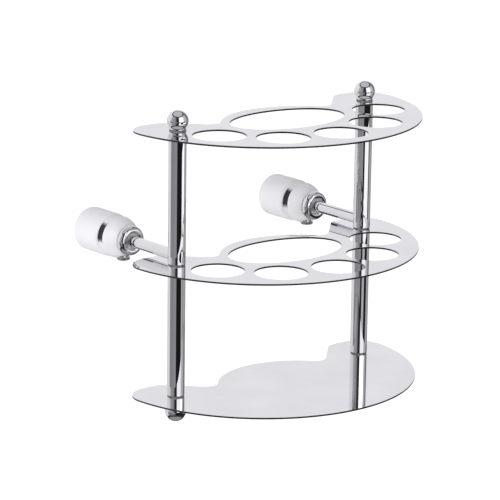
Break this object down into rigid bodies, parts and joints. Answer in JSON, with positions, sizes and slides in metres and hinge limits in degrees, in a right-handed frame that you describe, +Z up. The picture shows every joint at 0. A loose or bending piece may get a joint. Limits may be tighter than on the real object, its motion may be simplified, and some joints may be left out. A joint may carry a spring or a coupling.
{
  "type": "wall-mounted tumbler and brush holder",
  "caption": "Wall-mounted chrome holder with tiered shelves on round posts; tools stand through an oval hole and round holes and rest on a solid bottom shelf.",
  "frame": {"origin": "on the wall plane, midway between the two wall brackets, at the height of the arms", "axes": "+X along the wall to the right as seen from the room, +Y into the wall, +Z up"},
  "size_m": [0.1818, 0.1605, 0.1785],
  "materials": {
    "shelf_chrome": "mirror-polished plating on sheet steel",
    "post_chrome": "mirror-polished plating on steel tube",
    "fitting_chrome": "mirror-polished plating on turned and cast fittings",
    "arm_chrome": "mirror-polished plating on solid rod",
    "screw_steel": "plain bright steel",
    "brass_core": "turned brass, unplated",
    "clear_nylon": "moulded translucent white nylon",
    "bracket_zinc": "satin die-cast zinc",
    "gasket_rubber": "die-cut black rubber"
  },
  "bodies": {
    "wall_brackets": {"left_wall_bracket": "bracket_zinc", "left_wall_gasket": "gasket_rubber", "right_wall_bracket": "bracket_zinc", "right_wall_gasket": "gasket_rubber"},
    "rack": {"top_shelf": "shelf_chrome", "middle_shelf": "shelf_chrome", "bottom_shelf": "shelf_chrome", "post_washers": "clear_nylon", "left_upper_post": "post_chrome", "left_lower_post": "post_chrome", "left_arm_block": "brass_core", "left_upper_stud": "screw_steel", "left_lower_stud": "screw_steel", "left_top_finial": "fitting_chrome", "left_foot_collar": "fitting_chrome", "left_bottom_finial": "fitting_chrome", "left_arm": "arm_chrome", "left_arm_cap": "clear_nylon", "right_upper_post": "post_chrome", "right_lower_post": "post_chrome", "right_arm_block": "brass_core", "right_upper_stud": "screw_steel", "right_lower_stud": "screw_steel", "right_top_finial": "fitting_chrome", "right_foot_collar": "fitting_chrome", "right_bottom_finial": "fitting_chrome", "right_arm": "arm_chrome", "right_arm_cap": "clear_nylon"},
    "left_socket": {"left_flange": "fitting_chrome", "left_socket_head": "fitting_chrome", "left_ring_collar": "fitting_chrome", "left_grub_screw": "screw_steel"},
    "left_pad": {"left_clamp_pad": "clear_nylon"},
    "left_thumb_screw": {"left_clamp_screw": "fitting_chrome"},
    "right_socket": {"right_flange": "fitting_chrome", "right_socket_head": "fitting_chrome", "right_ring_collar": "fitting_chrome", "right_grub_screw": "screw_steel"},
    "right_pad": {"right_clamp_pad": "clear_nylon"},
    "right_thumb_screw": {"right_clamp_screw": "fitting_chrome"}
  },
  "joints": [
    {"name": "rack_slide", "type": "slide", "parent": "wall_brackets", "child": "rack", "axis": [0, -1, 0], "range_m": [0, 0.0145]},
    {"name": "left_socket_slide", "type": "slide", "parent": "wall_brackets", "child": "left_socket", "axis": [0, -1, 0], "range_m": [0, 0.008]},
    {"name": "left_pad_travel", "type": "slide", "parent": "left_socket", "child": "left_pad", "axis": [0, 0, -1], "range_m": [0, 0.00105]},
    {"name": "left_screw_turn", "type": "hinge", "parent": "left_pad", "child": "left_thumb_screw", "pos_m": [-0.069, -0.0315, -0.0114], "axis": [0, 0, -1], "range_deg": [0, 541]},
    {"name": "right_socket_slide", "type": "slide", "parent": "wall_brackets", "child": "right_socket", "axis": [0, -1, 0], "range_m": [0, 0.008]},
    {"name": "right_pad_travel", "type": "slide", "parent": "right_socket", "child": "right_pad", "axis": [0, 0, -1], "range_m": [0, 0.00105]},
    {"name": "right_screw_turn", "type": "hinge", "parent": "right_pad", "child": "right_thumb_screw", "pos_m": [0.069, -0.0315, -0.0114], "axis": [0, 0, -1], "range_deg": [0, 541]}
  ],
  "couplings": [
    {"joint": "left_screw_turn", "follows": "left_pad_travel", "rad_per_m": 8976},
    {"joint": "right_screw_turn", "follows": "right_pad_travel", "rad_per_m": 8976}
  ]
}
